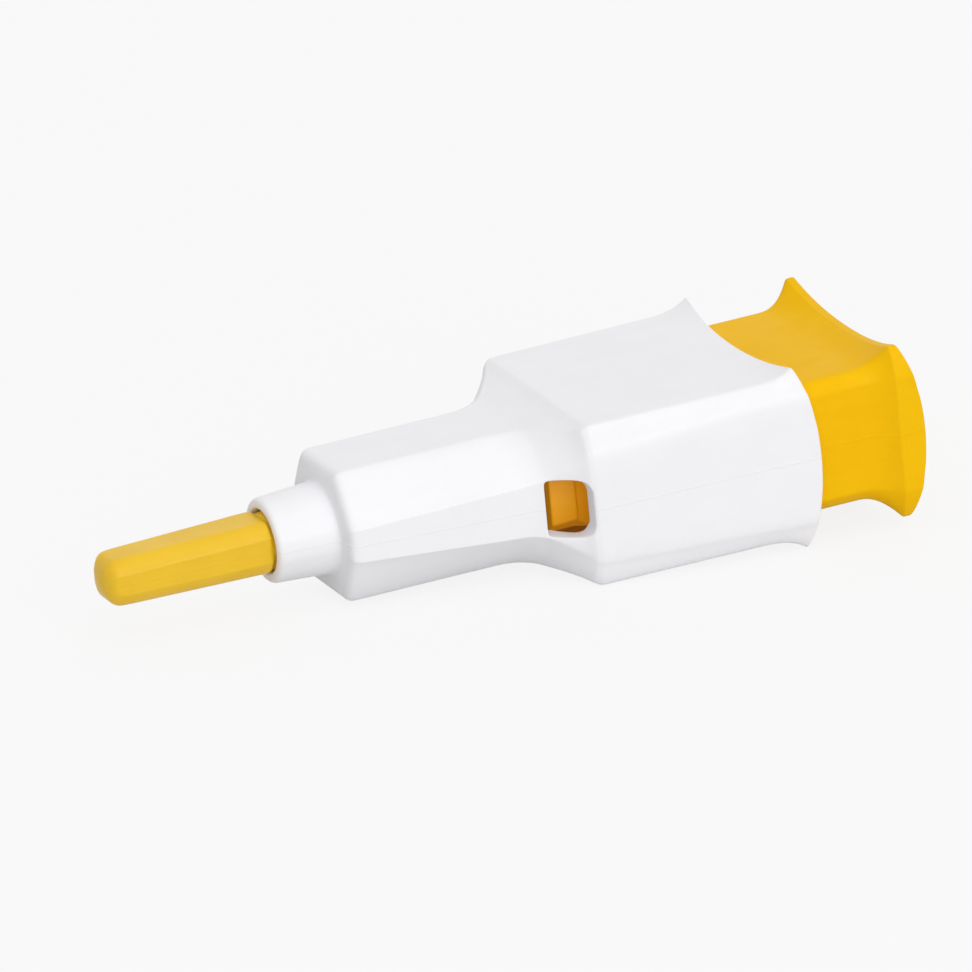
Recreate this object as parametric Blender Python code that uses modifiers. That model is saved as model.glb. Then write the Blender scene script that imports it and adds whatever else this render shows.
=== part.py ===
"""Push-to-fire safety lancet, unused, with its twist-off cap in place.

The device lies on a broad face. X runs from the cap (-X) to the push button (+X), Y is the broad
width and Z the thickness. The origin is below the middle of its length, on the surface it lies on.
"""

from collections import namedtuple
from math import cos, pi, radians, sin

import bmesh
import bpy
from mathutils import Vector

# Lengths along the device, from the cap to the button, in metres
CAP_GRIP_LENGTH = 0.0110
NOSE_LENGTH = 0.0040
NECK_LENGTH = 0.0103
SHOULDER_LENGTH = 0.0044
BODY_LENGTH = 0.0143
BUTTON_TRAVEL = 0.0028
COVE_LENGTH = 0.0024
PAD_LIP_EDGE = 0.0006
PAD_CROWN = 0.0011

# Housing: nose, neck, shoulder, body and rear rim
NOSE_FRONT_DIAMETER = 0.0054
NOSE_REAR_DIAMETER = 0.0058
NOSE_EDGE_RADIUS = 0.0003
NECK_FRONT_WIDTH = 0.0093
NECK_REAR_WIDTH = 0.0112
NECK_THICKNESS = 0.0085
NECK_FLAT_WIDTH = 0.0050
NECK_FRONT_SIDE_HEIGHT = 0.0025
NECK_REAR_SIDE_HEIGHT = 0.0036
NECK_EDGE_RADIUS = 0.0005
BODY_FRONT_WIDTH = 0.0162
BODY_REAR_WIDTH = 0.0166
BODY_THICKNESS = 0.0105
BODY_EDGE_INSET = 0.0009
BODY_FRONT_SIDE_HEIGHT = 0.0074
BODY_REAR_SIDE_HEIGHT = 0.0088
BODY_FRONT_ROUND = 0.0004
SIDE_BAND_STEP = 0.0002
RIM_LIP_HEIGHT = 0.0007
RIM_LIP_LENGTH = 0.0026
RIM_LIP_FLARE = 0.0002
RIM_SIDE_BULGE = 0.0010
RIM_DIP = 0.0010
WALL = 0.0007
CAVITY_EDGE_INSET = 0.0009
WINDOW_LENGTH = 0.0024
WINDOW_HEIGHT = 0.0038
WINDOW_BEHIND_SHOULDER = 0.00015
WINDOW_FRONT_RADIUS = 0.0003
WINDOW_REAR_RADIUS = 0.0008

# Push button
BUTTON_WALL = 0.0009
PAD_INSIDE_BODY = 0.0001
PAD_MIDDLE_THICKNESS = 0.0094
PAD_LIP_HEIGHT = 0.00095
PAD_DIP = 0.0005
PAD_DISH = 0.0003
PAD_WALL = 0.0011
LEG_THICKNESS = 0.0008
LEG_DRAFT = 0.0001
LEG_TIP_HEIGHT = 0.0057
LEG_ROOT_HEIGHT = 0.0060
LEG_TIP_SLOPE = 0.8
LEG_ROOT_SLOPE = 0.375
LEG_ROOT_BEHIND_BODY = 0.0016
LEG_TIP_IN_WINDOW = 0.0013
LEG_HOOK = 0.0003
LEG_HOOK_LENGTH = 0.0016
BRIDGE_THICKNESS = 0.0012
BRIDGE_HEIGHT = 0.0041
SPIGOT_DIAMETER = 0.0026
SPIGOT_LENGTH = 0.0025

# Lancet carrier, needle and cap
CARRIER_TRAVEL = 0.0038
PENETRATION = 0.0018
NEEDLE_DIAMETER = 0.00063
NEEDLE_IN_CARRIER = 0.0087
NEEDLE_TIP_ANGLE = 20.0
CARRIER_NOSE_GAP = 0.0016
CARRIER_STEM_DIAMETER = 0.0030
CARRIER_REAR_STEM_DIAMETER = 0.0026
FLANGE_DIAMETER = 0.0050
FLANGE_THICKNESS = 0.0012
FLANGE_BACK_FROM_NECK = 0.0104
EAR_WIDTH = 0.0024
LATCH_ARM_THICKNESS = 0.0006
LATCH_ARM_LENGTH = 0.0054
CAP_SLEEVE_DIAMETER = 0.0034
CAP_TIP_WIDTH = 0.0034
CAP_ROOT_WIDTH = 0.0038
CAP_TIP_THICKNESS = 0.0031
CAP_ROOT_THICKNESS = 0.0034
CAP_CORNER_RADIUS = 0.0009
CAP_TIP_ROUND = 0.0010
CAP_SLEEVE_TAPER = 0.00015
SNAP_NECK_WALL = 0.0004
SNAP_NECK_LENGTH = 0.0006

# Springs
RETURN_SPRING_WIRE = 0.00036
RETURN_SPRING_TURNS = 7
DRIVE_SPRING_DIAMETER = 0.0044
DRIVE_SPRING_LENGTH = 0.0120
DRIVE_SPRING_WIRE = 0.00045
DRIVE_SPRING_TURNS = 9
SPRING_DEAD_TURNS = 1

# Clearances: between pieces that move, and between pieces that seat on each other
RUNNING_GAP = 0.0003
SEAT_GAP = 0.0003
CUT_MARGIN = 0.0010

# How finely curves are drawn, and how rounded forms run between their ends
TURNED_STEPS = 32
SMALL_TURNED_STEPS = 16
BOX_CORNER_STEPS = 3
SHOULDER_STEPS = 5
COVE_STEPS = 4
LIP_STEPS = 4
CORNER_STEPS = 4
SPRING_STEPS = 12
FLAT_STOPS = (0.0, 0.4, 0.7, 0.88, 1.0)
PAD_RINGS = (0.93, 0.75, 0.5, 0.25)
CAP_TIP_RINGS = (0.35, 0.72, 0.92)
ROUND_EDGE_MIDDLE = 0.3
CLOSED_COIL_PITCH = 1.15
SMOOTH_ANGLE = 32.0
WELD_DISTANCE = 0.000001
ALONG_Y = 0.9
AXIS_MARK_SIZE = 0.005
LIP_POWER = 2.4
RIM_LIP_POWER = 2.2
SHOULDER_POWER = 2.4
COVE_POWER = 2.2
NECK_CORNER_FULLNESS = 0.2
BODY_CORNER_FULLNESS = 0.5
CAP_CORNER_FULLNESS = 0.6

# Stations along X, worked out from the lengths
RIM_TO_COVE = RIM_SIDE_BULGE + BUTTON_TRAVEL + RUNNING_GAP
HOUSING_LENGTH = NOSE_LENGTH + NECK_LENGTH + SHOULDER_LENGTH + BODY_LENGTH
BUTTON_REACH = RIM_TO_COVE + COVE_LENGTH + PAD_LIP_EDGE + PAD_CROWN
TOTAL_LENGTH = CAP_GRIP_LENGTH + HOUSING_LENGTH + BUTTON_REACH
X_CAP_TIP = -TOTAL_LENGTH / 2
X_NOSE = X_CAP_TIP + CAP_GRIP_LENGTH
X_NECK = X_NOSE + NOSE_LENGTH
X_SHOULDER = X_NECK + NECK_LENGTH
X_BODY = X_SHOULDER + SHOULDER_LENGTH
X_RIM = X_BODY + BODY_LENGTH
X_COVE = X_RIM + RIM_TO_COVE
X_PAD_LIP = X_COVE + COVE_LENGTH + PAD_LIP_EDGE
X_CAVITY = X_NECK + WALL
X_BODY_CAVITY = X_BODY + WALL
X_SHAFT = X_BODY_CAVITY + BUTTON_TRAVEL + RUNNING_GAP
X_PAD_INNER = X_PAD_LIP + PAD_CROWN - PAD_DISH - PAD_WALL
X_WINDOW_REAR = X_BODY + WINDOW_BEHIND_SHOULDER
X_WINDOW_FRONT = X_WINDOW_REAR - WINDOW_LENGTH
X_LEG_TIP = X_WINDOW_FRONT + LEG_TIP_IN_WINDOW
X_LEG_HOOK = X_LEG_TIP + LEG_HOOK_LENGTH
X_LEG_ROOT = X_BODY + LEG_ROOT_BEHIND_BODY
X_NEEDLE_TIP = X_NOSE - PENETRATION + CARRIER_TRAVEL
X_CARRIER = X_CAVITY + CARRIER_NOSE_GAP
X_FLANGE_REAR = X_NECK + FLANGE_BACK_FROM_NECK
X_FLANGE_FRONT = X_FLANGE_REAR - FLANGE_THICKNESS
X_LATCH_END = X_FLANGE_REAR + LATCH_ARM_LENGTH
X_BRIDGE = X_FLANGE_REAR + DRIVE_SPRING_LENGTH + 2 * SEAT_GAP
X_REAR_STEM_END = X_BRIDGE - SPIGOT_LENGTH - BUTTON_TRAVEL - RUNNING_GAP

# Heights and radii, worked out from the fits
AXIS_HEIGHT = BODY_THICKNESS / 2 + RIM_LIP_HEIGHT
FLANGE_RADIUS = FLANGE_DIAMETER / 2
LEG_INNER = FLANGE_RADIUS + RUNNING_GAP
LEG_OUTER = LEG_INNER + LEG_THICKNESS
NEEDLE_HOLE_RADIUS = NEEDLE_DIAMETER / 2 + SEAT_GAP
NOSE_BORE_RADIUS = CAP_SLEEVE_DIAMETER / 2 + RUNNING_GAP
RETURN_SPRING_RADIUS = CAP_SLEEVE_DIAMETER / 2 + RUNNING_GAP + RETURN_SPRING_WIRE / 2
DRIVE_SPRING_RADIUS = (DRIVE_SPRING_DIAMETER - DRIVE_SPRING_WIRE) / 2
EAR_HALF_HEIGHT = NECK_THICKNESS / 2 - WALL - RUNNING_GAP
PAD_HALF_WIDTH = BODY_REAR_WIDTH / 2 - PAD_INSIDE_BODY

COLOURS = {
    "housing": ((0.86, 0.86, 0.88, 1.0), 0.38, 0.0),
    "button": ((0.93, 0.58, 0.02, 1.0), 0.35, 0.0),
    "carrier": ((0.80, 0.50, 0.06, 1.0), 0.32, 0.0),
    "cap": ((0.82, 0.56, 0.08, 1.0), 0.30, 0.0),
    "steel": ((0.62, 0.62, 0.64, 1.0), 0.25, 1.0),
    "spring": ((0.50, 0.50, 0.52, 1.0), 0.35, 1.0),
}

# A section across X: half width, half thickness, half width of the flat, half height of the side
# band, how far that band stands proud, how far the flat's corners turn up, and how full the curve
# from the flat to the band is, from 0 for a plain chamfer
Section = namedtuple("Section", "width thick flat side step lip full")

NECK_FRONT_SECTION = Section(
    NECK_FRONT_WIDTH / 2, NECK_THICKNESS / 2, NECK_FLAT_WIDTH / 2,
    NECK_FRONT_SIDE_HEIGHT / 2, SIDE_BAND_STEP, 0.0, NECK_CORNER_FULLNESS,
)
NECK_REAR_SECTION = Section(
    NECK_REAR_WIDTH / 2, NECK_THICKNESS / 2, NECK_FLAT_WIDTH / 2,
    NECK_REAR_SIDE_HEIGHT / 2, SIDE_BAND_STEP, 0.0, NECK_CORNER_FULLNESS,
)
BODY_FRONT_SECTION = Section(
    BODY_FRONT_WIDTH / 2, BODY_THICKNESS / 2, BODY_FRONT_WIDTH / 2 - BODY_EDGE_INSET,
    BODY_FRONT_SIDE_HEIGHT / 2, SIDE_BAND_STEP, 0.0, BODY_CORNER_FULLNESS,
)
BODY_REAR_SECTION = Section(
    BODY_REAR_WIDTH / 2, BODY_THICKNESS / 2, BODY_REAR_WIDTH / 2 - BODY_EDGE_INSET,
    BODY_REAR_SIDE_HEIGHT / 2, SIDE_BAND_STEP, 0.0, BODY_CORNER_FULLNESS,
)
RIM_SECTION = BODY_REAR_SECTION._replace(
    width=BODY_REAR_WIDTH / 2 + RIM_LIP_FLARE,
    flat=BODY_REAR_WIDTH / 2 - BODY_EDGE_INSET + RIM_LIP_FLARE,
    lip=RIM_LIP_HEIGHT,
)
BODY_CAVITY_SECTION = Section(
    BODY_FRONT_WIDTH / 2 - WALL, BODY_THICKNESS / 2 - WALL,
    BODY_FRONT_WIDTH / 2 - WALL - CAVITY_EDGE_INSET,
    BODY_FRONT_SIDE_HEIGHT / 2, 0.0, 0.0, BODY_CORNER_FULLNESS,
)
PAD_LIP_SECTION = Section(
    PAD_HALF_WIDTH, PAD_MIDDLE_THICKNESS / 2, PAD_HALF_WIDTH - BODY_EDGE_INSET,
    PAD_MIDDLE_THICKNESS / 2 - BODY_EDGE_INSET, 0.0, PAD_LIP_HEIGHT, BODY_CORNER_FULLNESS,
)


def start_scene():
    """Empty the file and make the two collections."""
    for old in list(bpy.data.objects):
        bpy.data.objects.remove(old, do_unlink=True)
    parts = bpy.data.collections.new("safety_lancet")
    tools = bpy.data.collections.new("cutters")
    bpy.context.scene.collection.children.link(parts)
    bpy.context.scene.collection.children.link(tools)
    axis = bpy.data.objects.new("device_axis", None)
    axis.location = (0.0, 0.0, AXIS_HEIGHT)
    axis.empty_display_size = AXIS_MARK_SIZE
    parts.objects.link(axis)
    return parts, tools, axis


PARTS, TOOLS, AXIS = start_scene()


def make_material(name):
    colour, roughness, metallic = COLOURS[name]
    material = bpy.data.materials.new(name)
    material.use_nodes = True
    shader = material.node_tree.nodes["Principled BSDF"]
    shader.inputs["Base Color"].default_value = colour
    shader.inputs["Roughness"].default_value = roughness
    shader.inputs["Metallic"].default_value = metallic
    return material


MATERIALS = {name: make_material(name) for name in COLOURS}


def finish_piece(obj, material_name):
    """Put a finished piece in the object's collection, on the device's axis."""
    PARTS.objects.link(obj)
    obj.parent = AXIS
    obj.data.materials.append(MATERIALS[material_name])
    return obj


def as_tool(obj):
    """Put a shape that only cuts or joins in the cutters' collection."""
    TOOLS.objects.link(obj)
    obj.parent = AXIS
    obj.hide_render = True
    obj.display_type = "WIRE"
    return obj


def boolean(obj, tool, operation):
    modifier = obj.modifiers.new(f"{operation.lower()} {tool.name}", "BOOLEAN")
    modifier.operation = operation
    modifier.solver = "EXACT"
    modifier.object = tool


def object_from(bm, name):
    bmesh.ops.recalc_face_normals(bm, faces=bm.faces)
    mesh = bpy.data.meshes.new(name)
    bm.to_mesh(mesh)
    bm.free()
    mesh.shade_smooth()
    mesh.set_sharp_from_angle(angle=radians(SMOOTH_ANGLE))
    return bpy.data.objects.new(name, mesh)


def box(name, low, high, front_radius=0.0, rear_radius=0.0):
    """A box between two corners, its front and rear edges along Y rounded if asked."""
    low, high = Vector(low), Vector(high)
    bm = bmesh.new()
    bmesh.ops.create_cube(bm, size=1.0)
    bmesh.ops.scale(bm, vec=high - low, verts=bm.verts)
    bmesh.ops.translate(bm, vec=(low + high) / 2, verts=bm.verts)
    for radius, x in ((front_radius, low.x), (rear_radius, high.x)):
        if not radius:
            continue
        edges = []
        for edge in bm.edges:
            start, end = (vert.co for vert in edge.verts)
            along_y = abs((end - start).normalized().y) > ALONG_Y
            if along_y and abs(start.x - x) < WELD_DISTANCE:
                edges.append(edge)
        bmesh.ops.bevel(
            bm, geom=edges, offset=radius, segments=BOX_CORNER_STEPS, affect="EDGES",
        )
    return object_from(bm, name)


def turned(name, profile, steps=TURNED_STEPS):
    """Turn a profile of (x, radius) points, given from the front end to the rear, about X."""
    mesh = bpy.data.meshes.new(name)
    points = [(radius, 0.0, -x) for x, radius in profile]
    edges = [(i, i + 1) for i in range(len(points) - 1)]
    mesh.from_pydata(points, edges, [])
    obj = bpy.data.objects.new(name, mesh)
    obj.rotation_euler = (0.0, -pi / 2, 0.0)
    screw = obj.modifiers.new("turn", "SCREW")
    screw.axis = "Z"
    screw.steps = steps
    screw.render_steps = steps
    screw.use_merge_vertices = True
    screw.merge_threshold = WELD_DISTANCE
    return obj


def bar_between(name, x_front, x_rear, radius, steps=TURNED_STEPS):
    """A plain round bar on the axis."""
    profile = [(x_front, 0.0), (x_front, radius), (x_rear, radius), (x_rear, 0.0)]
    return turned(name, profile, steps)


def between(first, second, share):
    """The section a share of the way from one section to another."""
    return Section(*(a + (b - a) * share for a, b in zip(first, second)))


def inset(section, gap):
    """A plain section that lies a gap inside another."""
    width = section.width - section.step - gap
    thick = section.thick - gap
    flat = section.flat * width / section.width
    side = section.side * thick / section.thick
    return Section(width, thick, flat, side, 0.0, 0.0, section.full)


def quarter_outline(section):
    """Points in the upper +Y quarter, from the middle of the flat to the middle of the side."""
    points = []
    for share in FLAT_STOPS:
        points.append((section.flat * share, section.thick + section.lip * share**LIP_POWER))
    start = Vector((section.flat, section.thick + section.lip))
    end = Vector((section.width - section.step, section.side))
    control = Vector((start.x + (end.x - start.x) * section.full, start.y))
    for i in range(1, CORNER_STEPS):
        u = i / CORNER_STEPS
        point = start * (1 - u) ** 2 + control * 2 * u * (1 - u) + end * u**2
        points.append((point.x, point.y))
    points.append((end.x, end.y))
    drop = section.step if section.step else section.side / 2
    points.append((section.width, section.side - drop))
    points.append((section.width, 0.0))
    return points


def outline(section):
    """The whole section, from the middle of the top and round through +Y."""
    quarter = quarter_outline(section)
    lower = [(y, -z) for y, z in reversed(quarter[:-1])]
    far = [(-y, -z) for y, z in quarter[1:]]
    upper = [(-y, z) for y, z in reversed(quarter[1:-1])]
    return quarter + lower + far + upper


def ring(section, x, shift=None):
    """The section's points at x, each moved along X by shift(y, z) where the end isn't flat."""
    return [(x + (shift(y, z) if shift else 0.0), y, z) for y, z in outline(section)]


def loft(name, rings, front_middle=None, rear_middle=None):
    """Join rings of equal count into one closed solid, ends closed by fans."""
    bm = bmesh.new()
    rows = [[bm.verts.new(point) for point in points] for points in rings]
    count = len(rings[0])
    for row, following in zip(rows, rows[1:]):
        for i in range(count):
            j = (i + 1) % count
            bm.faces.new((row[i], row[j], following[j], following[i]))
    front_middle = front_middle or (rings[0][0][0], 0.0, 0.0)
    rear_middle = rear_middle or (rings[-1][0][0], 0.0, 0.0)
    for row, middle in ((rows[0], front_middle), (rows[-1], rear_middle)):
        centre = bm.verts.new(middle)
        for i in range(count):
            bm.faces.new((row[i], row[(i + 1) % count], centre))
    return object_from(bm, name)


def shoulder_rings(front, rear, x_front, x_rear):
    """Rings of the concave shoulder, slow at the neck and steep at the body."""
    rings = []
    for i in range(SHOULDER_STEPS + 1):
        share = i / SHOULDER_STEPS
        section = between(front, rear, share**SHOULDER_POWER)
        rings.append(ring(section, x_front + (x_rear - x_front) * share))
    return rings


def rim_shift(y, z):
    """The rear rim bows out on the narrow sides and dips in on the broad faces."""
    height = RIM_SECTION.thick + RIM_SECTION.lip
    bulge = RIM_SIDE_BULGE * (1 - (z / height) ** 2)
    dip = RIM_DIP * (1 - (y / RIM_SECTION.width) ** 2)
    return bulge - dip


def make_housing():
    front_edge = inset(NECK_FRONT_SECTION, NECK_EDGE_RADIUS)._replace(
        step=SIDE_BAND_STEP, width=NECK_FRONT_SECTION.width - NECK_EDGE_RADIUS,
    )
    rings = [ring(front_edge, X_NECK), ring(NECK_FRONT_SECTION, X_NECK + NECK_EDGE_RADIUS)]
    round_front = BODY_FRONT_SECTION._replace(
        width=BODY_FRONT_SECTION.width - BODY_FRONT_ROUND / 2,
        thick=BODY_FRONT_SECTION.thick - BODY_FRONT_ROUND / 2,
        flat=BODY_FRONT_SECTION.flat - BODY_FRONT_ROUND / 2,
    )
    rings += shoulder_rings(NECK_REAR_SECTION, round_front, X_SHOULDER, X_BODY)
    rings.append(ring(BODY_FRONT_SECTION, X_BODY + BODY_FRONT_ROUND))
    x_lip = X_RIM - RIM_LIP_LENGTH
    at_lip = between(BODY_FRONT_SECTION, BODY_REAR_SECTION, (x_lip - X_BODY) / BODY_LENGTH)
    rings.append(ring(at_lip, x_lip))
    for i in range(1, LIP_STEPS):
        share = i / LIP_STEPS
        rise = share**RIM_LIP_POWER
        section = between(at_lip, RIM_SECTION, share)._replace(lip=RIM_LIP_HEIGHT * rise)
        x = x_lip + RIM_LIP_LENGTH * share
        rings.append(ring(section, x, lambda y, z, rise=rise: rise * rim_shift(y, z)))
    rings.append(ring(RIM_SECTION, X_RIM, rim_shift))
    housing = loft("housing", rings, rear_middle=(X_RIM, 0.0, 0.0))

    nose_front, nose_rear = NOSE_FRONT_DIAMETER / 2, NOSE_REAR_DIAMETER / 2
    edge_middle = NOSE_EDGE_RADIUS * ROUND_EDGE_MIDDLE
    nose = turned("nose_ring", [
        (X_NOSE, 0.0),
        (X_NOSE, nose_front - NOSE_EDGE_RADIUS),
        (X_NOSE + edge_middle, nose_front - edge_middle),
        (X_NOSE + NOSE_EDGE_RADIUS, nose_front),
        (X_NECK, nose_rear),
        (X_CAVITY - WALL / 2, nose_rear),
        (X_CAVITY - WALL / 2, 0.0),
    ])
    boolean(housing, as_tool(nose), "UNION")

    neck_rings = [ring(inset(NECK_FRONT_SECTION, WALL), X_CAVITY)]
    shoulder_front = inset(NECK_REAR_SECTION, WALL)
    neck_rings += shoulder_rings(shoulder_front, BODY_CAVITY_SECTION, X_SHOULDER, X_BODY_CAVITY)
    neck_rings.append(ring(BODY_CAVITY_SECTION, X_RIM + RIM_SIDE_BULGE + CUT_MARGIN))
    boolean(housing, as_tool(loft("housing_cavity", neck_rings)), "DIFFERENCE")

    bore = bar_between("nose_bore", X_NOSE - CUT_MARGIN, X_CAVITY + CUT_MARGIN, NOSE_BORE_RADIUS)
    boolean(housing, as_tool(bore), "DIFFERENCE")

    half_window = WINDOW_HEIGHT / 2
    inner_face = inset(NECK_REAR_SECTION, WALL).width - RUNNING_GAP
    window = box(
        "side_window", (X_WINDOW_FRONT, -BODY_REAR_WIDTH / 2 - CUT_MARGIN, -half_window),
        (X_WINDOW_REAR, -inner_face, half_window), WINDOW_FRONT_RADIUS, WINDOW_REAR_RADIUS,
    )
    boolean(housing, as_tool(window), "DIFFERENCE")
    return finish_piece(housing, "housing")


def pad_surface(y, z):
    """How far the thumb pad stands behind the corners of its lip."""
    width, height = PAD_LIP_SECTION.width, PAD_LIP_SECTION.thick + PAD_LIP_SECTION.lip
    across, up = (y / width) ** 2, (z / height) ** 2
    return PAD_CROWN * (1 - up) - PAD_DIP * (1 - across) * up - PAD_DISH * (1 - across) * (1 - up)


def leg(name, side):
    """A leg from its tip to the pad, its edges sloped as the neck's corner faces are."""
    rings = []
    for x, proud, height, slope in (
        (X_LEG_TIP, 0.0, LEG_TIP_HEIGHT, LEG_TIP_SLOPE),
        (X_LEG_HOOK, LEG_HOOK, LEG_TIP_HEIGHT, LEG_TIP_SLOPE),
        (X_LEG_HOOK + LEG_HOOK / 2, 0.0, LEG_TIP_HEIGHT, LEG_TIP_SLOPE),
        (X_LEG_ROOT, 0.0, LEG_ROOT_HEIGHT, LEG_ROOT_SLOPE),
        (X_PAD_INNER + PAD_WALL / 2, LEG_DRAFT, LEG_ROOT_HEIGHT, LEG_ROOT_SLOPE),
    ):
        inner, outer = side * LEG_INNER, side * (LEG_OUTER + proud)
        tall = height / 2
        low = tall - slope * (LEG_THICKNESS + proud)
        rings.append([(x, inner, tall), (x, outer, low), (x, outer, -low), (x, inner, -tall)])
    middle = side * (LEG_INNER + LEG_OUTER) / 2
    return loft(
        name, rings, (X_LEG_TIP, middle, 0.0), (X_PAD_INNER + PAD_WALL / 2, middle, 0.0),
    )


def make_push_button():
    shaft = inset(BODY_CAVITY_SECTION, RUNNING_GAP)
    rings = [ring(shaft, X_SHAFT), ring(shaft, X_COVE)]
    for i in range(1, COVE_STEPS + 1):
        share = i / COVE_STEPS
        section = between(shaft, PAD_LIP_SECTION, share**COVE_POWER)
        rings.append(ring(section, X_COVE + COVE_LENGTH * share))
    rings.append(ring(PAD_LIP_SECTION, X_PAD_LIP, pad_surface))
    for scale in PAD_RINGS:
        points = [(y * scale, z * scale) for y, z in outline(PAD_LIP_SECTION)]
        rings.append([(X_PAD_LIP + pad_surface(y, z), y, z) for y, z in points])
    middle = (X_PAD_LIP + pad_surface(0.0, 0.0), 0.0, 0.0)
    button = loft("push_button", rings, rear_middle=middle)

    hollow_section = inset(shaft, BUTTON_WALL)
    hollow = loft("button_hollow", [
        ring(hollow_section, X_SHAFT - CUT_MARGIN), ring(hollow_section, X_PAD_INNER),
    ])
    boolean(button, as_tool(hollow), "DIFFERENCE")

    boolean(button, as_tool(leg("far_leg", 1)), "UNION")
    boolean(button, as_tool(leg("near_leg", -1)), "UNION")

    bridge_half = LEG_INNER + LEG_THICKNESS / 2
    bridge = box(
        "leg_bridge", (X_BRIDGE, -bridge_half, -BRIDGE_HEIGHT / 2),
        (X_BRIDGE + BRIDGE_THICKNESS, bridge_half, BRIDGE_HEIGHT / 2),
    )
    boolean(button, as_tool(bridge), "UNION")
    spigot = bar_between(
        "spring_spigot", X_BRIDGE - SPIGOT_LENGTH, X_BRIDGE + BRIDGE_THICKNESS / 2,
        SPIGOT_DIAMETER / 2, SMALL_TURNED_STEPS,
    )
    boolean(button, as_tool(spigot), "UNION")
    return finish_piece(button, "button")


def make_carrier():
    stem, rear_stem = CARRIER_STEM_DIAMETER / 2, CARRIER_REAR_STEM_DIAMETER / 2
    carrier = turned("lancet_carrier", [
        (X_CARRIER, 0.0),
        (X_CARRIER, stem),
        (X_FLANGE_FRONT, stem),
        (X_FLANGE_FRONT, FLANGE_RADIUS),
        (X_FLANGE_REAR, FLANGE_RADIUS),
        (X_FLANGE_REAR, rear_stem),
        (X_REAR_STEM_END, rear_stem),
        (X_REAR_STEM_END, 0.0),
    ])
    half_ear = EAR_WIDTH / 2
    inset_depth = FLANGE_THICKNESS / 4
    ears = box(
        "guide_ears", (X_FLANGE_FRONT + inset_depth, -half_ear, -EAR_HALF_HEIGHT),
        (X_FLANGE_REAR - inset_depth, half_ear, EAR_HALF_HEIGHT),
    )
    boolean(carrier, as_tool(ears), "UNION")
    half_arm = EAR_WIDTH / 2 - LATCH_ARM_THICKNESS / 4
    for side, name in ((1, "upper_latch_arm"), (-1, "lower_latch_arm")):
        outer = EAR_HALF_HEIGHT - LATCH_ARM_THICKNESS / 8
        inner = outer - LATCH_ARM_THICKNESS
        z_limits = sorted((side * inner, side * outer))
        arm = box(
            name, (X_FLANGE_FRONT + FLANGE_THICKNESS / 2, -half_arm, z_limits[0]),
            (X_LATCH_END, half_arm, z_limits[1]),
        )
        boolean(carrier, as_tool(arm), "UNION")
    x_hole_end = X_CARRIER + NEEDLE_IN_CARRIER + SEAT_GAP
    hole = bar_between(
        "needle_hole", X_CARRIER - CUT_MARGIN, x_hole_end, NEEDLE_HOLE_RADIUS, SMALL_TURNED_STEPS,
    )
    boolean(carrier, as_tool(hole), "DIFFERENCE")
    return finish_piece(carrier, "carrier")


def make_needle():
    radius = NEEDLE_DIAMETER / 2
    x_rear = X_CARRIER + NEEDLE_IN_CARRIER
    bm = bmesh.new()
    bmesh.ops.create_cone(
        bm, cap_ends=True, segments=SMALL_TURNED_STEPS, radius1=radius, radius2=radius,
        depth=x_rear - X_NEEDLE_TIP,
    )
    turn = Vector((0.0, 0.0, 1.0)).rotation_difference(Vector((1.0, 0.0, 0.0))).to_matrix()
    bmesh.ops.rotate(bm, cent=(0.0, 0.0, 0.0), matrix=turn, verts=bm.verts)
    bmesh.ops.translate(bm, vec=((x_rear + X_NEEDLE_TIP) / 2, 0.0, 0.0), verts=bm.verts)
    slant = radians(NEEDLE_TIP_ANGLE)
    result = bmesh.ops.bisect_plane(
        bm, geom=bm.verts[:] + bm.edges[:] + bm.faces[:], dist=WELD_DISTANCE / 10,
        plane_co=(X_NEEDLE_TIP, 0.0, -radius), plane_no=(-sin(slant), 0.0, cos(slant)),
        clear_outer=True,
    )
    cut_edges = [g for g in result["geom_cut"] if isinstance(g, bmesh.types.BMEdge)]
    bmesh.ops.edgenet_fill(bm, edges=cut_edges)
    return finish_piece(object_from(bm, "needle"), "steel")


def cap_section(width, thickness):
    """A rounded bar's section, with the same count of points as any other section."""
    return Section(
        width / 2, thickness / 2, width / 2 - CAP_CORNER_RADIUS,
        thickness / 2 - CAP_CORNER_RADIUS, 0.0, 0.0, CAP_CORNER_FULLNESS,
    )


def make_cap():
    tip = cap_section(CAP_TIP_WIDTH, CAP_TIP_THICKNESS)
    root = cap_section(CAP_ROOT_WIDTH, CAP_ROOT_THICKNESS)
    x_root = X_NOSE - SEAT_GAP
    rings = []
    for share in CAP_TIP_RINGS:
        x = X_CAP_TIP + CAP_TIP_ROUND * (1 - (1 - share**2) ** 0.5)
        rings.append([(x, y * share, z * share) for y, z in outline(tip)])
    rings.append(ring(tip, X_CAP_TIP + CAP_TIP_ROUND))
    rings.append(ring(root, x_root))
    cap = loft("twist_off_cap", rings, front_middle=(X_CAP_TIP, 0.0, 0.0))

    sleeve = CAP_SLEEVE_DIAMETER / 2
    snap = NEEDLE_HOLE_RADIUS + SNAP_NECK_WALL
    x_snap_rear = X_CARRIER - SEAT_GAP
    x_snap_front = x_snap_rear - SNAP_NECK_LENGTH
    stalk = turned("cap_sleeve", [
        (x_root - CAP_TIP_ROUND, 0.0),
        (x_root - CAP_TIP_ROUND, sleeve - CAP_SLEEVE_TAPER),
        (x_root, sleeve),
        (x_snap_front, sleeve),
        (x_snap_front, snap),
        (x_snap_rear, snap),
        (x_snap_rear, 0.0),
    ])
    boolean(cap, as_tool(stalk), "UNION")
    hole = bar_between(
        "cap_needle_hole", X_NEEDLE_TIP - 2 * SEAT_GAP, x_snap_rear + CUT_MARGIN,
        NEEDLE_HOLE_RADIUS, SMALL_TURNED_STEPS,
    )
    boolean(cap, as_tool(hole), "DIFFERENCE")
    return finish_piece(cap, "cap")


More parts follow.
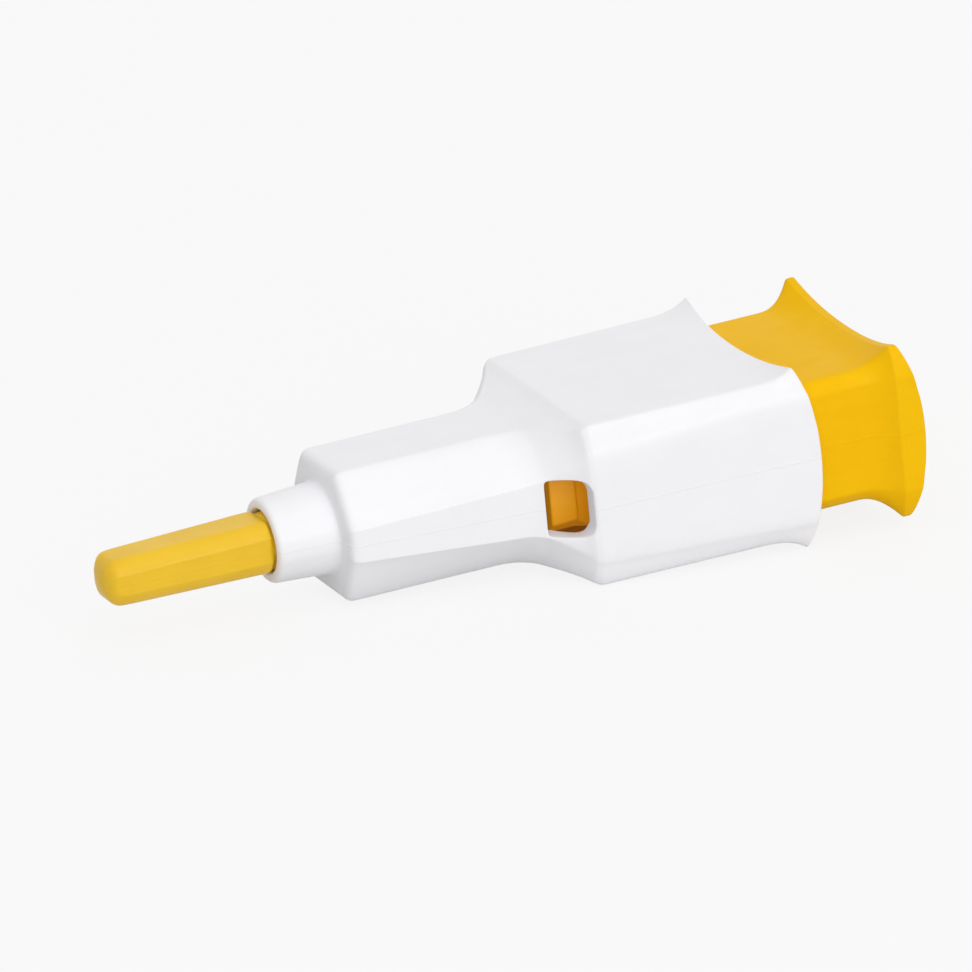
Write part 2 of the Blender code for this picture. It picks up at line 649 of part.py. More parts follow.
def make_spring(name, x_front, x_rear, radius, wire, turns):
    """A compression spring on the axis, its first and last turns closed."""
    closed_pitch = wire * CLOSED_COIL_PITCH
    open_turns = turns - 2 * SPRING_DEAD_TURNS
    open_pitch = (x_rear - x_front - wire - 2 * SPRING_DEAD_TURNS * closed_pitch) / open_turns
    curve = bpy.data.curves.new(name, "CURVE")
    curve.dimensions = "3D"
    curve.bevel_depth = wire / 2
    curve.bevel_resolution = 2
    curve.use_fill_caps = True
    spline = curve.splines.new("POLY")
    count = turns * SPRING_STEPS + 1
    spline.points.add(count - 1)
    x = x_front + wire / 2
    for i, point in enumerate(spline.points):
        angle = 2 * pi * i / SPRING_STEPS
        point.co = (x, radius * cos(angle), radius * sin(angle), 1.0)
        turn_number = i / SPRING_STEPS
        closed = turn_number < SPRING_DEAD_TURNS or turn_number >= turns - SPRING_DEAD_TURNS
        x += (closed_pitch if closed else open_pitch) / SPRING_STEPS
    return finish_piece(bpy.data.objects.new(name, curve), "spring")


make_housing()
make_push_button()
make_carrier()
make_needle()
make_cap()
make_spring(
    "return_spring", X_CAVITY + SEAT_GAP, X_FLANGE_FRONT - SEAT_GAP,
    RETURN_SPRING_RADIUS, RETURN_SPRING_WIRE, RETURN_SPRING_TURNS,
)
make_spring(
    "drive_spring", X_FLANGE_REAR + SEAT_GAP, X_BRIDGE - SEAT_GAP,
    DRIVE_SPRING_RADIUS, DRIVE_SPRING_WIRE, DRIVE_SPRING_TURNS,
)
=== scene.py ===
"""The finished look of an unused safety lancet, built over its solids.

The device lies on a broad face. X runs from the cap (-X) to the push button (+X), Y is the broad
width and Z the thickness. All sizes are in metres, in the solids' own coordinates.
"""

from collections import namedtuple
from math import atan2, cos, hypot, pi, radians, sin, sqrt

import bmesh
import bpy
from mathutils import Matrix, Vector


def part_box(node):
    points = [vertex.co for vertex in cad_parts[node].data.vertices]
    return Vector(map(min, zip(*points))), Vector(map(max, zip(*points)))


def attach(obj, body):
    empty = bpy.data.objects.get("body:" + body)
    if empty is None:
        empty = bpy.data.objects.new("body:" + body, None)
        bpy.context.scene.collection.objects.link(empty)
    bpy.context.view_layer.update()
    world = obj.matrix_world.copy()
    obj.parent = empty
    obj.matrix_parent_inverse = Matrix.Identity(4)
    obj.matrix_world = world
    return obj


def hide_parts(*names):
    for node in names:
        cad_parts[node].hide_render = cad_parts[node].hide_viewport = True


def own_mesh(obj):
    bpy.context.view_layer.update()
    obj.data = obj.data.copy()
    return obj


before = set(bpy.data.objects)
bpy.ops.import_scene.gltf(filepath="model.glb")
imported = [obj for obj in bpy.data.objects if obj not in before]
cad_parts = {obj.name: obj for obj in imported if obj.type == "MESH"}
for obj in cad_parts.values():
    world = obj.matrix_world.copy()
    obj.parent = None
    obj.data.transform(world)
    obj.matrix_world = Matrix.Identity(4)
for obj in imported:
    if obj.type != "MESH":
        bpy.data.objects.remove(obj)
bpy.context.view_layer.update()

# Places taken from the solids
HOUSING_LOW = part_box("housing")[0]
BUTTON_LOW, BUTTON_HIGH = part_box("push_button")
CARRIER_LOW, CARRIER_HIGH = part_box("lancet_carrier")
NEEDLE_LOW, NEEDLE_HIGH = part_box("needle")
CAP_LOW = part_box("twist_off_cap")[0]
AXIS_HEIGHT = (NEEDLE_LOW.z + NEEDLE_HIGH.z) / 2
AXIS = Vector((0.0, 0.0, AXIS_HEIGHT))

# Lengths along the device
NOSE_LENGTH = 0.0040
NECK_LENGTH = 0.0103
SHOULDER_LENGTH = 0.0044
BODY_LENGTH = 0.0143
COVE_LENGTH = 0.0024
PAD_LIP_EDGE = 0.0006
PAD_CROWN = 0.0011
BUTTON_TRAVEL = 0.0028

# Housing
NOSE_FRONT_RADIUS = 0.0027
NOSE_REAR_RADIUS = 0.0029
NOSE_BORE_RADIUS = 0.0020
NOSE_EDGE_RADIUS = 0.0003
NOSE_FILLET = 0.00012
NECK_EDGE_RADIUS = 0.0005
BODY_FRONT_ROUND = 0.0004
BODY_EDGE_INSET = 0.0009
SIDE_BAND_STEP = 0.0002
WALL = 0.0007
RIM_LIP_LENGTH = 0.0026
RIM_LIP_HEIGHT = 0.0007
RIM_LIP_FLARE = 0.0002
RIM_SIDE_BULGE = 0.0010
RIM_DIP = 0.0010
WINDOW_LENGTH = 0.0024
WINDOW_HEIGHT = 0.0038
WINDOW_BEHIND_SHOULDER = 0.00015
WINDOW_FRONT_CORNER = 0.0003
WINDOW_REAR_RADIUS = 0.0008
WINDOW_LIMIT = 0.93
BORE_RUN_IN = 0.0006
EDGE_HOLD = 0.00015

# Push button
BUTTON_WALL = 0.0009
PAD_WALL = 0.0011
PAD_DIP = 0.0005
PAD_DISH = 0.0003
LEG_INNER = 0.0028
LEG_THICKNESS = 0.0008
LEG_TIP_HEIGHT = 0.0057
LEG_ROOT_HEIGHT = 0.0060
LEG_TIP_SLOPE = 0.8
LEG_ROOT_SLOPE = 0.375
LEG_ROOT_BEHIND_BODY = 0.0016
LEG_HOOK = 0.0003
LEG_HOOK_LENGTH = 0.0016
BRIDGE_THICKNESS = 0.0012
BRIDGE_HEIGHT = 0.0041
SPIGOT_RADIUS = 0.0013
SPIGOT_LENGTH = 0.0025
SPIGOT_CHAMFER = 0.00026
LEG_EASED_EDGE = 0.00012

# Carrier, needle, cap and springs
STEM_RADIUS = 0.0015
REAR_STEM_RADIUS = 0.0013
FLANGE_RADIUS = 0.0025
FLANGE_THICKNESS = 0.0012
FLANGE_BACK_FROM_NECK = 0.0104
EAR_WIDTH = 0.0024
LATCH_ARM_THICKNESS = 0.0006
LATCH_ARM_LENGTH = 0.0054
STEM_CHAMFER = 0.00015
CARRIER_EASED_EDGE = 0.00006
NEEDLE_RADIUS = 0.000315
NEEDLE_SLANT = 20.0
NEEDLE_SIDE_SLANT = 32.0
SIDE_GRIND_START = 0.94
SEAT_GAP = 0.0003
CAP_FIT = 0.00006
CAP_TIP_ROUND = 0.0010
CAP_END_ROUND = 0.0002
SNAP_NECK_WALL = 0.0004
SNAP_NECK_LENGTH = 0.0006
RETURN_SPRING_WIRE = 0.00036
RETURN_SPRING_TURNS = 7
DRIVE_SPRING_WIRE = 0.00045
DRIVE_SPRING_TURNS = 9
CLOSED_COIL_PITCH = 1.15

# How finely the curves are drawn, and how steeply they swell
FLAT_STOPS = (0.0, 0.3, 0.55, 0.75, 0.88, 0.95, 1.0)
CORNER_STEPS = 6
EDGE_FAR, EDGE_CORNER = 1.6, 0.3
EDGE_PROFILE = (
    (0.0, EDGE_FAR), (0.0, 1.0), (EDGE_CORNER, EDGE_CORNER), (1.0, 0.0), (EDGE_FAR, 0.0),
)
FILLET_REACH = 2.5
BAND_STOPS = (0.74, 0.37, 0.0)
BAND_MARGIN = 0.07
WINDOW_WALL_STOPS = (0.0, 0.2, 0.8, 1.0)
LIP_STOPS = (0.22, 0.42, 0.6, 0.75, 0.87, 0.95)
RIM_FACE_STOPS = (0.0, 0.16, 0.84, 1.0)
NECK_STOPS = (0.3, 0.6, 0.86)
FRONT_WALL_STOPS = (0.1, 0.5, 1.0)
SHAFT_END_STOPS = (0.2, 0.8)
SHOULDER_STEPS = 8
COVE_STOPS = (0.16, 0.32, 0.47, 0.61, 0.74, 0.85, 0.94, 1.0)
PAD_FACE_SCALES = (0.975, 0.92)
CAP_TIP_SHARES = (0.5, 0.68, 0.83, 0.94)
CAP_BAR_STOPS = (0.1, 0.5, 0.9)
CAP_HOLE_END_SHARE = 0.8
LIP_POWER = 2.4
RIM_LIP_POWER = 2.2
SHOULDER_POWER = 2.4
COVE_POWER = 2.2
SMOOTH_LEVELS = 2
MERGE_DISTANCE = 0.0000001
TURNED_STEPS = 48
COIL_STEPS = 36
WIRE_STEPS = 12
EASED_EDGE_STEPS = 3
EASED_EDGE_ANGLE = 28

# Stations along X
X_NOSE = HOUSING_LOW.x
X_NECK = X_NOSE + NOSE_LENGTH
X_NECK_EDGE = X_NECK + NECK_EDGE_RADIUS
X_SHOULDER = X_NECK + NECK_LENGTH
X_BODY = X_SHOULDER + SHOULDER_LENGTH
X_RIM = X_BODY + BODY_LENGTH
X_LIP = X_RIM - RIM_LIP_LENGTH
X_CAVITY = X_NECK + WALL
X_BODY_CAVITY = X_BODY + WALL
X_WINDOW_REAR = X_BODY + WINDOW_BEHIND_SHOULDER
X_WINDOW_FRONT = X_WINDOW_REAR - WINDOW_LENGTH
X_PAD_LIP = BUTTON_HIGH.x - PAD_CROWN
X_COVE = X_PAD_LIP - PAD_LIP_EDGE - COVE_LENGTH
X_SHAFT = X_BODY_CAVITY + BUTTON_TRAVEL + SEAT_GAP
X_PAD_INNER = BUTTON_HIGH.x - PAD_DISH - PAD_WALL
X_FLANGE_REAR = X_NECK + FLANGE_BACK_FROM_NECK
X_FLANGE_FRONT = X_FLANGE_REAR - FLANGE_THICKNESS
X_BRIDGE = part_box("drive_spring")[1].x + SEAT_GAP
NEEDLE_HOLE_RADIUS = NEEDLE_RADIUS + SEAT_GAP

# A section across X: half width, half thickness, half width of the flat, half height of the side
# band, how far the band stands proud, how far the flat's corners turn up, and how full the curve
# between them is, from 0 for a plain chamfer
Section = namedtuple("Section", "width thick flat side step lip full")
NECK_FRONT = Section(
    width=0.00465, thick=0.00425, flat=0.0025, side=0.00125, step=SIDE_BAND_STEP, lip=0.0, full=0.2,
)
NECK_REAR = NECK_FRONT._replace(width=0.0056, side=0.0018)
BODY_FRONT = Section(
    width=0.0081, thick=0.00525, flat=0.0081 - BODY_EDGE_INSET, side=0.0037, step=SIDE_BAND_STEP,
    lip=0.0, full=0.5,
)
BODY_REAR = BODY_FRONT._replace(width=0.0083, flat=0.0083 - BODY_EDGE_INSET, side=0.0044)
RIM = BODY_REAR._replace(
    width=BODY_REAR.width + RIM_LIP_FLARE, flat=BODY_REAR.flat + RIM_LIP_FLARE, lip=RIM_LIP_HEIGHT,
)
BODY_CAVITY = BODY_FRONT._replace(
    width=BODY_FRONT.width - WALL, thick=BODY_FRONT.thick - WALL, flat=BODY_FRONT.flat - WALL,
    step=0.0,
)
PAD_LIP = Section(
    width=0.0082, thick=0.0047, flat=0.0082 - BODY_EDGE_INSET, side=0.0038, step=0.0, lip=0.00095,
    full=0.5,
)
CAP_TIP = Section(
    width=0.0017, thick=0.00155, flat=0.0008, side=0.00065, step=0.0, lip=0.0, full=0.6,
)
CAP_ROOT = CAP_TIP._replace(width=0.0019, thick=0.0017, flat=0.0010, side=0.0008)


# Sections and rings

def between(first, second, share):
    """The section a share of the way from one section to another."""
    return Section(*(a + (b - a) * share for a, b in zip(first, second)))


def inset(section, gap):
    """A plain section that lies a gap inside another."""
    width, thick = section.width - section.step - gap, section.thick - gap
    return section._replace(
        width=width, thick=thick, flat=section.flat * width / section.width,
        side=section.side * thick / section.thick, step=0.0, lip=0.0,
    )


def shrunk(section, gap):
    """The same section made smaller all round, its side band kept."""
    share = 1 - gap / section.thick
    return section._replace(
        width=section.width - gap, thick=section.thick - gap, flat=section.flat * share,
        side=section.side * share,
    )


def quarter(section, opening=WINDOW_HEIGHT / 2):
    """Points of the upper +Y quarter, from the middle of the flat to the middle of the side.

    opening is half the height that the window's columns keep on the side band.
    """
    points = [(section.flat * s, section.thick + section.lip * s**LIP_POWER) for s in FLAT_STOPS]
    edge = Vector((section.flat, section.thick + section.lip))
    shelf = Vector((section.width - section.step, section.side))
    bend = Vector((edge.x + (shelf.x - edge.x) * section.full, edge.y))
    for i in range(1, CORNER_STEPS + 1):
        u = i / CORNER_STEPS
        points.append(tuple(edge * (1 - u) ** 2 + bend * 2 * u * (1 - u) + shelf * u**2))
    band = section.side - max(section.step, section.side * BAND_MARGIN)
    window = min(opening, band * WINDOW_LIMIT)
    points.append((section.width, band))
    points.append((section.width, window + min(EDGE_HOLD, (band - window) / 2)))
    points.append((section.width, window))
    points += [(section.width, window * stop) for stop in BAND_STOPS]
    return points


QUARTER = len(quarter(NECK_FRONT)) - 1
FLAT_END = len(FLAT_STOPS) - 1
WINDOW_COLUMN = QUARTER - len(BAND_STOPS)


def outline(section, opening=WINDOW_HEIGHT / 2):
    """The whole section, from the middle of the top and round through +Y."""
    upper = quarter(section, opening)
    lower = [(y, -z) for y, z in reversed(upper[:-1])]
    far_lower = [(-y, -z) for y, z in upper[1:]]
    far_upper = [(-y, z) for y, z in reversed(upper[1:-1])]
    return upper + lower + far_lower + far_upper


def flat_ring(section, x, shift=None):
    """The section at x, each point moved along X by shift(y, z) where the end isn't flat."""
    return [Vector((x + (shift(y, z) if shift else 0.0), y, z)) for y, z in outline(section)]


def round_ring(x, radius, like):
    """A circle whose points lie in the same directions as a section's points."""
    angles = [atan2(z, y) for y, z in outline(like)]
    return [Vector((x, radius * cos(a), radius * sin(a))) for a in angles]


def mixed_ring(first, second, share):
    """A ring a share of the way from one ring to another."""
    return [a.lerp(b, share) for a, b in zip(first, second)]


def rounded_edge(x, radius, size, like):
    """Rings that round the edge between a turned form's front face at x and its side."""
    return [
        round_ring(x + size * along, radius - size * across, like) for along, across in EDGE_PROFILE
    ]


# Meshes

def add_rows(bm, rings):
    """The corners of each ring, as a row of the mesh."""
    return [[bm.verts.new(point) for point in ring] for ring in rings]


def add_skin(bm, rows, open_cells=()):
    """Quads between neighbouring rows, apart from the cells that stay open."""
    count = len(rows[0])
    for i in range(len(rows) - 1):
        for j in range(count):
            if (i, j) not in open_cells:
                k = (j + 1) % count
                bm.faces.new((rows[i][j], rows[i][k], rows[i + 1][k], rows[i + 1][j]))


def add_lid(bm, row, surface):
    """Close a row with a grid of quads whose points lie on surface(y, z)."""
    count = len(row)
    across = 2 * FLAT_END
    down = count // 2 - across
    top = [row[(i - FLAT_END) % count] for i in range(across + 1)]
    right = [row[FLAT_END + i] for i in range(down + 1)]
    bottom = [row[count // 2 + FLAT_END - i] for i in range(across + 1)]
    left = [row[(-FLAT_END - i) % count] for i in range(down + 1)]
    grid = [[None] * (across + 1) for _ in range(down + 1)]
    for i in range(down + 1):
        for j in range(across + 1):
            if i == 0 or i == down:
                grid[i][j] = (top if i == 0 else bottom)[j]
            elif j == 0 or j == across:
                grid[i][j] = (left if j == 0 else right)[i]
            else:
                v, u = i / down, j / across
                ends = left[i].co.lerp(right[i].co, u) + top[j].co.lerp(bottom[j].co, v)
                upper = top[0].co.lerp(top[-1].co, u)
                lower = bottom[0].co.lerp(bottom[-1].co, u)
                place = ends - upper.lerp(lower, v)
                grid[i][j] = bm.verts.new((surface(place.y, place.z), place.y, place.z))
    for i in range(down):
        for j in range(across):
            bm.faces.new((grid[i][j], grid[i][j + 1], grid[i + 1][j + 1], grid[i + 1][j]))


def line_window(bm, outer, inner, first, last):
    """The wall of a window, from its border in the outer rows to the same border in the inner."""
    end = len(outer) - 1
    border = [(0, j) for j in range(first, last)] + [(i, last) for i in range(end)]
    border += [(end, j) for j in range(last, first, -1)] + [(i, first) for i in range(end, 0, -1)]
    loops = []
    for stop in WINDOW_WALL_STOPS:
        if stop == 0.0:
            loops.append([outer[i][j] for i, j in border])
        elif stop == 1.0:
            loops.append([inner[i][j] for i, j in border])
        else:
            loops.append([
                bm.verts.new(outer[i][j].co.lerp(inner[i][j].co, stop)) for i, j in border
            ])
    add_skin(bm, loops)


def add_box(bm, low, high):
    """A box between two corners, as its own closed shell."""
    low, high = Vector(low), Vector(high)
    made = bmesh.ops.create_cube(bm, size=1.0)["verts"]
    bmesh.ops.scale(bm, vec=high - low, verts=made)
    bmesh.ops.translate(bm, vec=(low + high) / 2, verts=made)


def add_turned(bm, profile):
    """Turn a profile of (x, radius) points about X. A radius of 0 at an end closes it."""
    rows = []
    for x, radius in profile:
        if radius == 0.0:
            rows.append([bm.verts.new((x, 0.0, 0.0))] * TURNED_STEPS)
        else:
            turn = [2 * pi * i / TURNED_STEPS for i in range(TURNED_STEPS)]
            rows.append([bm.verts.new((x, radius * cos(a), radius * sin(a))) for a in turn])
    for row, following in zip(rows, rows[1:]):
        for i in range(TURNED_STEPS):
            k = (i + 1) % TURNED_STEPS
            corners = dict.fromkeys((row[i], row[k], following[k], following[i]))
            bm.faces.new(tuple(corners))


def add_bar(bm, rings):
    """A closed bar through rings of equal count, its ends left flat."""
    rows = add_rows(bm, rings)
    add_skin(bm, rows)
    bm.faces.new(rows[0])
    bm.faces.new(rows[-1])


def finish_mesh(bm, name, smooth_angle=None):
    """The mesh as an object on the device's axis, its faces smooth below an angle in degrees."""
    bmesh.ops.recalc_face_normals(bm, faces=bm.faces)
    mesh = bpy.data.meshes.new(name)
    bmesh.ops.translate(bm, vec=AXIS, verts=bm.verts)
    bm.to_mesh(mesh)
    bm.free()
    mesh.shade_smooth()
    if smooth_angle:
        mesh.set_sharp_from_angle(angle=radians(smooth_angle))
    obj = bpy.data.objects.new(name, mesh)
    bpy.context.scene.collection.objects.link(obj)
    return obj


def soften(obj):
    """Round the whole cage into a smooth surface."""
    modifier = obj.modifiers.new("soften", "SUBSURF")
    modifier.levels = SMOOTH_LEVELS
    modifier.render_levels = SMOOTH_LEVELS
    return obj


def ease_edges(obj, width):
    """Break the sharp edges of a plainly built piece."""
    modifier = obj.modifiers.new("ease edges", "BEVEL")
    modifier.width = width
    modifier.segments = EASED_EDGE_STEPS
    modifier.limit_method = "ANGLE"
    modifier.angle_limit = radians(EASED_EDGE_ANGLE)
    modifier.harden_normals = True
    return obj


# Housing

def window_ring(section, x):
    """A section whose columns follow the window's round rear corners."""
    into_corner = max(0.0, x - X_WINDOW_REAR + WINDOW_REAR_RADIUS)
    drop = WINDOW_REAR_RADIUS - sqrt(max(0.0, WINDOW_REAR_RADIUS**2 - into_corner**2))
    return [Vector((x, y, z)) for y, z in outline(section, WINDOW_HEIGHT / 2 - drop)]


def outer_section(x):
    """The housing's outside at x, from the neck's front edge to the start of the rim's lips."""
    body_edge = shrunk(BODY_FRONT, BODY_FRONT_ROUND / 2)
    if x <= X_SHOULDER:
        return between(NECK_FRONT, NECK_REAR, (x - X_NECK_EDGE) / (X_SHOULDER - X_NECK_EDGE))
    if x <= X_BODY:
        share = (x - X_SHOULDER) / SHOULDER_LENGTH
        return between(NECK_REAR, body_edge, share**SHOULDER_POWER)
    if x < X_BODY + BODY_FRONT_ROUND:
        return between(body_edge, BODY_FRONT, (x - X_BODY) / BODY_FRONT_ROUND)
    return between(BODY_FRONT, BODY_REAR, (x - X_BODY) / BODY_LENGTH)


def inner_section(x):
    """The housing's hollow at x."""
    front, rear = inset(NECK_FRONT, WALL), inset(NECK_REAR, WALL)
    if x <= X_SHOULDER:
        return between(front, rear, (x - X_CAVITY) / (X_SHOULDER - X_CAVITY))
    share = min(1.0, (x - X_SHOULDER) / (X_BODY_CAVITY - X_SHOULDER))
    return between(rear, BODY_CAVITY, share**SHOULDER_POWER)


def rim_shift(y, z):
    """The rear rim bows out on the narrow sides and dips in on the broad faces."""
    height = RIM.thick + RIM.lip
    return RIM_SIDE_BULGE * (1 - (z / height) ** 2) - RIM_DIP * (1 - (y / RIM.width) ** 2)


def nose_rings():
    """From the bore over the nose ring to the neck's front edge."""
    like = NECK_FRONT
    rings = [
        round_ring(X_NOSE + BORE_RUN_IN, NOSE_BORE_RADIUS, like),
        round_ring(X_NOSE + NOSE_FILLET, NOSE_BORE_RADIUS, like),
        round_ring(X_NOSE, NOSE_BORE_RADIUS + NOSE_FILLET, like),
    ]
    rings += rounded_edge(X_NOSE, NOSE_FRONT_RADIUS, NOSE_EDGE_RADIUS, like)
    middle = (NOSE_FRONT_RADIUS + NOSE_REAR_RADIUS) / 2
    rings.append(round_ring((X_NOSE + X_NECK) / 2, middle, like))
    reach = FILLET_REACH * NOSE_FILLET
    rings.append(round_ring(X_NECK - reach, NOSE_REAR_RADIUS, like))
    rings.append(round_ring(X_NECK - NOSE_FILLET / 2, NOSE_REAR_RADIUS + NOSE_FILLET / 2, like))
    fillet = round_ring(X_NECK, NOSE_REAR_RADIUS + reach, like)
    face = flat_ring(shrunk(NECK_FRONT, NECK_EDGE_RADIUS * EDGE_FAR), X_NECK)
    rings += [fillet, mixed_ring(fillet, face, 0.5), face]
    rings.append(flat_ring(shrunk(NECK_FRONT, NECK_EDGE_RADIUS), X_NECK))
    corner = NECK_EDGE_RADIUS * EDGE_CORNER
    rings.append(flat_ring(shrunk(NECK_FRONT, corner), X_NECK + corner))
    return rings


def make_housing():
    """One skin from the nose over the outside, round the rim and back through the hollow."""
    window_x = [
        X_WINDOW_FRONT, X_WINDOW_FRONT + WINDOW_FRONT_CORNER, X_WINDOW_REAR - WINDOW_REAR_RADIUS,
        X_WINDOW_REAR - WINDOW_REAR_RADIUS / 2, X_BODY, X_WINDOW_REAR,
    ]
    shoulder_x = [
        X_SHOULDER + SHOULDER_LENGTH * i / SHOULDER_STEPS for i in range(SHOULDER_STEPS // 2)
    ]
    shoulder_x.append(X_WINDOW_FRONT - EDGE_HOLD)
    neck_x = [X_NECK_EDGE, X_NECK_EDGE + 2 * EDGE_HOLD]
    neck_x += [X_NECK_EDGE + (X_SHOULDER - X_NECK_EDGE) * share for share in NECK_STOPS]
    x_body_edge = X_BODY + BODY_FRONT_ROUND
    body_x = [x_body_edge, x_body_edge + 2 * EDGE_HOLD]
    body_x += [X_BODY + (X_LIP - X_BODY) * share for share in (*NECK_STOPS, 1.0)]
    outer_x = neck_x + shoulder_x + window_x + body_x
    rings = nose_rings() + [window_ring(outer_section(x), x) for x in outer_x]

    at_lip = outer_section(X_LIP)
    for stop in LIP_STOPS:
        rise = stop**RIM_LIP_POWER
        section = between(at_lip, RIM, stop)._replace(lip=RIM_LIP_HEIGHT * rise)
        x = X_LIP + RIM_LIP_LENGTH * stop
        rings.append(flat_ring(section, x, lambda y, z, rise=rise: rise * rim_shift(y, z)))
    for stop in RIM_FACE_STOPS:
        rings.append(flat_ring(between(RIM, BODY_CAVITY, stop), X_RIM, rim_shift))
    rings.append(flat_ring(BODY_CAVITY, X_RIM - EDGE_HOLD, rim_shift))

    inner_x = [X_LIP, (X_BODY + X_RIM) / 2, X_BODY_CAVITY + 2 * EDGE_HOLD, X_BODY_CAVITY]
    inner_x += window_x[::-1] + shoulder_x[::-1]
    inner_x += [x for x in neck_x[::-1] if x > X_CAVITY + EDGE_HOLD]
    first_inner = len(rings)
    rings += [window_ring(inner_section(x), x) for x in inner_x]
    front_wall = [flat_ring(inner_section(x), x) for x in (X_CAVITY + EDGE_HOLD, X_CAVITY)]
    edge = round_ring(X_CAVITY, NOSE_BORE_RADIUS + NOSE_FILLET, NECK_FRONT)
    rings += front_wall + [mixed_ring(front_wall[1], edge, share) for share in FRONT_WALL_STOPS]
    for x in (X_CAVITY - NOSE_FILLET, X_CAVITY - 4 * NOSE_FILLET, (X_NOSE + X_CAVITY) / 2):
        rings.append(round_ring(x, NOSE_BORE_RADIUS, NECK_FRONT))

    bm = bmesh.new()
    rows = add_rows(bm, rings)
    outer_front = len(nose_rings()) + outer_x.index(X_WINDOW_FRONT)
    outer_rear = outer_front + len(window_x) - 1
    inner_rear = first_inner + inner_x.index(X_WINDOW_REAR)
    inner_front = inner_rear + len(window_x) - 1
    near_middle = len(rings[0]) - QUARTER
    half = QUARTER - WINDOW_COLUMN
    first, last = near_middle - half, near_middle + half
    open_cells = set()
    for j in range(first, last):
        open_cells.update((i, j) for i in range(outer_front, outer_rear))
        open_cells.update((i, j) for i in range(inner_rear, inner_front))
    add_skin(bm, rows + [rows[0]], open_cells)
    outer = rows[outer_front:outer_rear + 1]
    inner = rows[inner_rear:inner_front + 1][::-1]
    line_window(bm, outer, inner, first, last)
    return soften(finish_mesh(bm, "housing_moulding"))


# Push button

def pad_surface(y, z):
    """How far the thumb pad stands behind the corners of its lip."""
    across, up = (y / PAD_LIP.width) ** 2, (z / (PAD_LIP.thick + PAD_LIP.lip)) ** 2
    return PAD_CROWN * (1 - up) - PAD_DIP * (1 - across) * up - PAD_DISH * (1 - across) * (1 - up)


def make_button():
    """The shaft and thumb pad: from the pad's inside out over the shaft, cove and pad."""
    shaft = inset(BODY_CAVITY, SEAT_GAP)
    hollow = inset(shaft, BUTTON_WALL)
    edge = EDGE_HOLD
    rings = [flat_ring(hollow, X_PAD_INNER - edge), flat_ring(hollow, (X_SHAFT + X_PAD_INNER) / 2)]
    rings += [flat_ring(hollow, X_SHAFT + edge), flat_ring(hollow, X_SHAFT)]
    rings += [flat_ring(between(hollow, shaft, stop), X_SHAFT) for stop in SHAFT_END_STOPS]
    rings += [flat_ring(shaft, X_SHAFT), flat_ring(shaft, X_SHAFT + edge)]
    rings.append(flat_ring(shaft, (X_SHAFT + X_COVE) / 2))
    rings += [flat_ring(shaft, X_COVE - 2 * edge), flat_ring(shaft, X_COVE)]
    for stop in COVE_STOPS:
        section = between(shaft, PAD_LIP, stop**COVE_POWER)
        rings.append(flat_ring(section, X_COVE + COVE_LENGTH * stop))
    x_flank = X_COVE + COVE_LENGTH
    rings.append(flat_ring(PAD_LIP, x_flank + edge))
    rings.append(flat_ring(PAD_LIP, X_PAD_LIP - edge, pad_surface))
    rings.append(flat_ring(PAD_LIP, X_PAD_LIP, pad_surface))
    for scale in PAD_FACE_SCALES:
        scaled = [(y * scale, z * scale) for y, z in outline(PAD_LIP)]
        rings.append([Vector((X_PAD_LIP + pad_surface(y, z), y, z)) for y, z in scaled])
    bm = bmesh.new()
    rows = add_rows(bm, rings)
    add_skin(bm, rows)
    add_lid(bm, rows[-1], lambda y, z: X_PAD_LIP + pad_surface(y, z))
    inner_edge = add_rows(bm, [
        flat_ring(hollow, X_PAD_INNER),
        flat_ring(shrunk(hollow, edge), X_PAD_INNER),
    ])
    add_skin(bm, [rows[0]] + inner_edge)
    add_lid(bm, inner_edge[-1], lambda y, z: X_PAD_INNER)
    return soften(finish_mesh(bm, "push_button_moulding"))


def leg_rings(side):
    """Sections of a leg from its tip to the pad, its edges sloped as the neck's corners are."""
    x_hook = BUTTON_LOW.x + LEG_HOOK_LENGTH
    rings = []
    for x, proud, height, slope in (
        (BUTTON_LOW.x, 0.0, LEG_TIP_HEIGHT, LEG_TIP_SLOPE),
        (x_hook, LEG_HOOK, LEG_TIP_HEIGHT, LEG_TIP_SLOPE),
        (x_hook + LEG_HOOK / 2, 0.0, LEG_TIP_HEIGHT, LEG_TIP_SLOPE),
        (X_BODY + LEG_ROOT_BEHIND_BODY, 0.0, LEG_ROOT_HEIGHT, LEG_ROOT_SLOPE),
        (X_PAD_INNER + PAD_WALL / 2, 0.0, LEG_ROOT_HEIGHT, LEG_ROOT_SLOPE),
    ):
        inner, outer = side * LEG_INNER, side * (LEG_INNER + LEG_THICKNESS + proud)
        tall = height / 2
        low = tall - slope * (LEG_THICKNESS + proud)
        rings.append([(x, inner, tall), (x, outer, low), (x, outer, -low), (x, inner, -tall)])
    return rings


def make_legs():
    """The button's two legs, the bridge between them and the spigot for the drive spring."""
    bm = bmesh.new()
    add_bar(bm, leg_rings(1))
    add_bar(bm, leg_rings(-1))
    half_width, half_height = LEG_INNER + LEG_THICKNESS / 2, BRIDGE_HEIGHT / 2
    x_bridge_rear = X_BRIDGE + BRIDGE_THICKNESS
    add_box(bm, (X_BRIDGE, -half_width, -half_height), (x_bridge_rear, half_width, half_height))
    add_turned(bm, [
        (X_BRIDGE - SPIGOT_LENGTH, 0.0),
        (X_BRIDGE - SPIGOT_LENGTH, SPIGOT_RADIUS - SPIGOT_CHAMFER),
        (X_BRIDGE - SPIGOT_LENGTH + SPIGOT_CHAMFER, SPIGOT_RADIUS),
        (X_BRIDGE + BRIDGE_THICKNESS / 2, SPIGOT_RADIUS),
        (X_BRIDGE + BRIDGE_THICKNESS / 2, 0.0),
    ])
    return ease_edges(finish_mesh(bm, "button_legs", smooth_angle=30), LEG_EASED_EDGE)


# Carrier, needle, cap and springs

